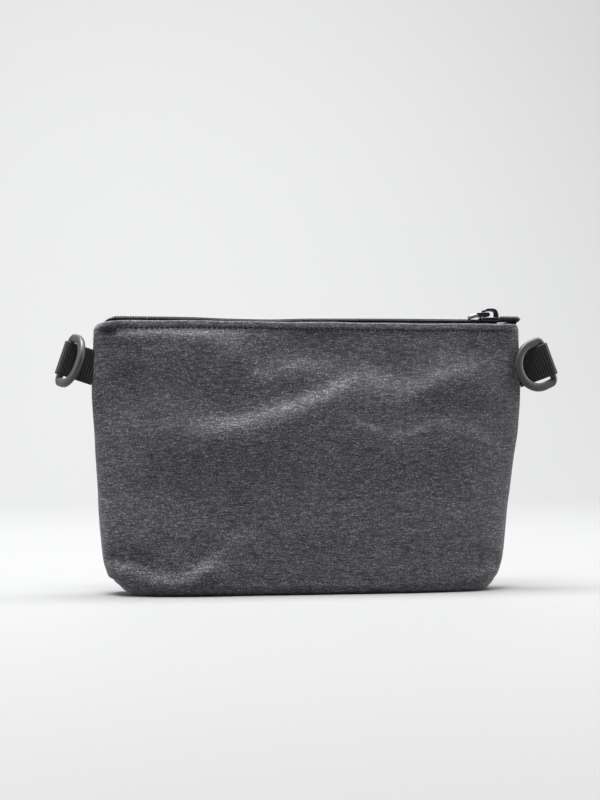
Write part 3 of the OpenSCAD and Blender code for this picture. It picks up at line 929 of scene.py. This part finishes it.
for i in range(60):
    for a_ in th:
        r_, y_ = br[i] * sqv(math.cos(a_), 0.7), wid[i] * sqv(math.sin(a_), 0.7)
        V.append((bx[i] - tz[i] * r_, y_, bz[i] + tx[i] * r_))
F = [tuple(f) for f in grid_faces(16, 60, wrap_u=True)]
F += [tuple(range(16))[::-1], tuple(59 * 16 + k for k in range(16))]
parts.append((np.array(V), F))
slider = gather("slider_plated", [shift(p, SLX) for p in parts], M_METAL)
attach(slider, "slider")
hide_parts("slider_body")

# pull: drawn flat with its pivot at the origin, then laid down
PX, PZ, REST, BEND = SLX - 1.1, 163.35, 3.0, 14.0
L = 12.0
pp, plate_parts = [], []
for sg in (-1, 1):
    a_ = np.linspace(-math.pi / 2, math.pi / 2, 14)
    arm = [(1.4 * math.cos(v), 1.4 * math.sin(v)) for v in a_] + [(-6.2, 1.35), (-6.9, 0.9), (-6.9, -0.9), (-6.2, -1.35)]
    v, f = prism(arm, 1.25, 2.25, 0.32, 4)
    pp.append((np.stack([v[:, 0], sg * v[:, 2], v[:, 1]], -1), f))
v, f = prism(round_outline([(-7.0, -1.15), (-5.3, -1.25), (-5.3, 1.25), (-7.0, 1.15)], 0.4), -2.2, 2.2, 0.3, 3)
pp.append((np.stack([v[:, 0], v[:, 2], v[:, 1]], -1), f))
pp.append(tube(np.stack([np.zeros(12), np.linspace(-1.5, 1.5, 12), np.zeros(12)], 1), 0.88, 16))
E = L - 5.9 - 2.6
out = [(0.2, 2.25), (-E, 2.6)]
out += [(-E + 2.6 * math.cos(a_), 2.6 * math.sin(a_)) for a_ in np.linspace(math.pi / 2, 1.5 * math.pi, 22)][1:-1]
out += [(-E, -2.6), (0.2, -2.25)]
inset = [(-0.8, 1.4), (-E, 1.55)] + [(-E + 1.5 * math.cos(a_), 1.5 * math.sin(a_)) for a_ in np.linspace(math.pi / 2, 1.5 * math.pi, 16)][1:-1] + [(-E, -1.55), (-0.8, -1.4)]
cb, sb = math.cos(math.radians(BEND)), math.sin(math.radians(BEND))
for v, f in (prism(out, -1.15, 1.15, 0.6, 6), prism(inset, 0.85, 1.3, 0.2, 3)):
    plate_parts.append((np.stack([v[:, 0] * cb - v[:, 2] * sb - 5.9, v[:, 1], v[:, 0] * sb + v[:, 2] * cb], -1), f))
ca, sa = math.cos(math.radians(REST)), math.sin(math.radians(REST))


def laid(parts_in):
    done = []
    for v, f in parts_in:
        v = np.asarray(v)
        done.append((np.stack([v[:, 0] * ca - v[:, 2] * sa + PX, v[:, 1], v[:, 0] * sa + v[:, 2] * ca + PZ], -1), f))
    return done


pull = gather("pull_arms_plated", laid(pp), M_METAL)
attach(pull, "pull")
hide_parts("pull_tab")
# the plate's lighter material is a painted reflection, not a different metal
pull = gather("pull_plate_plated", laid(plate_parts), M_PULL_PLATE_PAINTED_REFLECTION)
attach(pull, "pull")

# ---------------------------------------------------------------- tabs, rings
SIDE = {-1: (130.8, math.radians(18.2), 16.0), 1: (130.3, math.radians(20.8), 18.2)}


def at_tab(V, s):
    V = np.asarray(V, float)
    height, tilt, _ = SIDE[s]
    x = V[:, 0] * math.cos(tilt) - V[:, 2] * math.sin(tilt) + np.interp(height, [118, 140], [125.2 * KX, 124.6 * KX])
    z = V[:, 0] * math.sin(tilt) + V[:, 2] * math.cos(tilt) + height
    return np.stack([s * x, V[:, 1], z], -1)


def web(s, name):
    BAR_OUT = SIDE[s][2]
    rc = 2.2 + 0.6
    pts = [(-2.6, -0.68), (0, -0.68), (3, -0.74), (7, -1.1), (12, -1.95), (BAR_OUT - 1.6, -rc + 0.12)]
    pts += [(BAR_OUT + rc * math.sin(t), -rc * math.cos(t)) for t in np.linspace(0.0, math.pi, 22)]
    pts += [(x, -y) for x, y in pts[:6][::-1]]
    P = np.array(pts)
    d = np.r_[0, np.cumsum(np.hypot(*np.diff(P, axis=0).T))]
    n = 420
    q = np.linspace(0, d[-1], n)
    px, py = np.interp(q, d, P[:, 0]), np.interp(q, d, P[:, 1])
    for _ in range(14):
        px[1:-1] = (px[:-2] + 2 * px[1:-1] + px[2:]) / 4
        py[1:-1] = (py[:-2] + 2 * py[1:-1] + py[2:]) / 4
    tx, ty = np.gradient(px), np.gradient(py)
    l_ = np.hypot(tx, ty)
    nx, ny = ty / l_, -tx / l_  # outward of the loop
    # section: across the width, both faces
    m = 56
    wv = np.linspace(-9.9, 9.9, m)
    edge = 0.58 * np.sqrt(np.clip(1 - np.clip((np.abs(wv) - 9.35) / 0.56, 0, 1) ** 2, 0, 1))
    V, U = [], []
    rib = 2 * math.pi / 1.55
    for i in range(n):
        lift = np.abs(np.cos(rib * q[i] / 2)) ** 0.7
        knit = 0.5 + 0.5 * np.cos(2 * math.pi * wv / 0.95)
        up = edge - 0.13 * (1 - lift) * (edge > 0.2) + 0.05 * lift * knit * (edge > 0.4)
        dn = -edge + 0.10 * (1 - lift) * (edge > 0.2)
        wz = wv - 0.1 + 0.06 * np.sign(wv) * lift * (np.abs(wv) > 9.4)
        for h, zc in ((up, wz), (dn[::-1], wz[::-1])):
            V += list(zip(px[i] + nx[i] * h, py[i] + ny[i] * h, zc))
            U += [(q[i], w_) for w_ in zc]
    k = 2 * m
    F = [tuple(f) for f in grid_faces(k, n, wrap_u=True)]
    F += [tuple(range(k)), tuple((n - 1) * k + j for j in range(k))[::-1]]
    o = mesh_object(name, at_tab(V, s), F, U)
    return fix_normals(give(o, M_WEB))


def box_stitch(s, name):
    """Row of thread that closes the loop beside the ring."""
    parts = []
    for sy in (-1, 1):
        for zc in np.arange(-8.6, 8.7, 2.4):
            t = np.linspace(-1, 1, 7)
            x = np.full(7, 2.2)
            y = sy * (1.36 + 0.1 * (1 - t ** 4))
            parts.append((at_tab(tube(np.stack([x, y, zc + 0.95 * t], -1), 0.17, 6)[0], s), tube(np.stack([x, y, zc + 0.95 * t], -1), 0.17, 6)[1]))
    return gather(name, parts, M_THREAD, 2.0)


def ring(s, fold, name):
    C, Q, rc = 13.2, 7.7, 2.4
    BAR_OUT = SIDE[s][2]
    P = []
    for t in np.linspace(-1, 1, 40):
        P.append((0, t * (C - rc)))
    for a_ in np.linspace(0, math.pi / 2, 12)[1:]:
        P.append((rc - rc * math.cos(a_), C - rc + rc * math.sin(a_)))
    for t in np.linspace(rc, Q, 10)[1:]:
        P.append((t, C))
    for a_ in np.linspace(0, math.pi, 70)[1:]:
        P.append((Q + C * math.sin(a_), C * math.cos(a_)))
    for t in np.linspace(Q, rc, 10)[1:]:
        P.append((t, -C))
    for a_ in np.linspace(math.pi / 2, 0, 12)[1:-1]:
        P.append((rc - rc * math.cos(a_), -(C - rc + rc * math.sin(a_))))
    P = np.array(P)
    n = len(P)
    T = np.roll(P, -1, 0) - np.roll(P, 1, 0)
    T /= np.linalg.norm(T, axis=1, keepdims=True)
    N = np.stack([T[:, 1], -T[:, 0]], 1)
    bar = 1 - sstep(0.2, 2.9, P[:, 0])
    m = 28
    th = np.linspace(0, 2 * math.pi, m, endpoint=False)
    V = []
    for i in range(n):
        a_ = 2.5 * (1 - bar[i]) + 2.0 * bar[i]
        b_ = 1.8 * (1 - bar[i]) + 1.98 * bar[i]
        ex = 0.70 * (1 - bar[i]) + 1.0 * bar[i]
        ex2 = 0.82 * (1 - bar[i]) + 1.0 * bar[i]
        c_ = np.sign(np.cos(th)) * np.abs(np.cos(th)) ** ex * a_
        s_ = np.sign(np.sin(th)) * np.abs(np.sin(th)) ** ex2 * b_
        # moulding line round the outside
        c_ = c_ + 0.02 * np.sign(np.cos(th)) * np.exp(-(np.sin(th) / 0.09) ** 2) * (1 - bar[i])
        V += [(P[i, 0] + N[i, 0] * c, sn, P[i, 1] + N[i, 1] * c) for c, sn in zip(c_, s_)]
    V = np.array(V)
    f = math.radians(180 + fold)
    R = np.stack([V[:, 0] * math.cos(f) - V[:, 1] * math.sin(f) + BAR_OUT,
                  V[:, 0] * math.sin(f) + V[:, 1] * math.cos(f), V[:, 2] - 0.8 - (0.035 if s > 0 else 0.0) * V[:, 0]], -1)
    F = [tuple(q_) for q_ in grid_faces(m, n, wrap_u=True, wrap_v=True)]
    return fix_normals(give(mesh_object(name, at_tab(R, s), F, V[:, [0, 2]]), M_RING))


for s, side, fold in ((-1, "left", 66), (1, "right", 17)):
    o = web(s, f"webbing_{side}")
    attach(o, "case")
    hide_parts(f"web_tab_{side}")
    o = box_stitch(s, f"webbing_{side}_thread")
    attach(o, "case")
    o = ring(s, fold, f"ring_{side}_moulded")
    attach(o, f"ring_{side}")
    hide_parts(f"d_ring_{side}")
give(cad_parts["side_binding_left"], M_BINDING)
give(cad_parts["side_binding_right"], M_BINDING)
give(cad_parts["base_lining"], M_LINING)

# ---------------------------------------------------------------- stage
def sweep():
    prof = [(-2.5, 0.0)]
    for t in np.linspace(0, math.pi / 2, 30):
        prof.append((0.85 + 0.9 * math.sin(t), 0.9 - 0.9 * math.cos(t)))
    prof.append((1.75, 5.0))
    V, F = [], []
    for y, z in prof:
        V += [(-6, y, z), (6, y, z)]
    for i in range(len(prof) - 1):
        F.append((2 * i, 2 * i + 1, 2 * i + 3, 2 * i + 2))
    me = bpy.data.meshes.new("sweep")
    me.from_pydata(V, [], F)
    me.polygons.foreach_set("use_smooth", np.ones(len(F), bool))
    o = bpy.data.objects.new("sweep", me)
    scene.collection.objects.link(o)
    m = Mat("sweep_paper", 0.7, 0.2)
    socket(m.b, "Base Color", (0.228, 0.229, 0.229, 1))
    give(o, m.m)
    return o


sweep()
world = bpy.data.worlds.new("studio")
scene.world = world
world.use_nodes = True
bg = world.node_tree.nodes["Background"]
bg.inputs["Color"].default_value = (0.93, 0.96, 1.0, 1)
bg.inputs["Strength"].default_value = 0.13


def area(name, loc, target, size, power, color=(1, 1, 1)):
    d = bpy.data.lights.new(name, "AREA")
    d.shape = "RECTANGLE"
    d.size, d.size_y = size
    d.energy = power
    d.color = color
    o = bpy.data.objects.new(name, d)
    scene.collection.objects.link(o)
    o.location = loc
    o.rotation_euler = (Vector(target) - Vector(loc)).to_track_quat("-Z", "Y").to_euler()
    return o


area("top", (-0.25, -0.18, 1.6), (0, 0.0, 0.05), (0.9, 0.6), 52)
area("left", (-1.3, -0.12, 0.45), (0, 0, 0.08), (0.7, 0.9), 8)
area("right", (1.3, -0.08, 0.45), (0, 0, 0.08), (0.7, 0.9), 12)
area("back", (0, 0.3, 2.2), (0, 1.7, 0.7), (3.0, 1.0), 162)
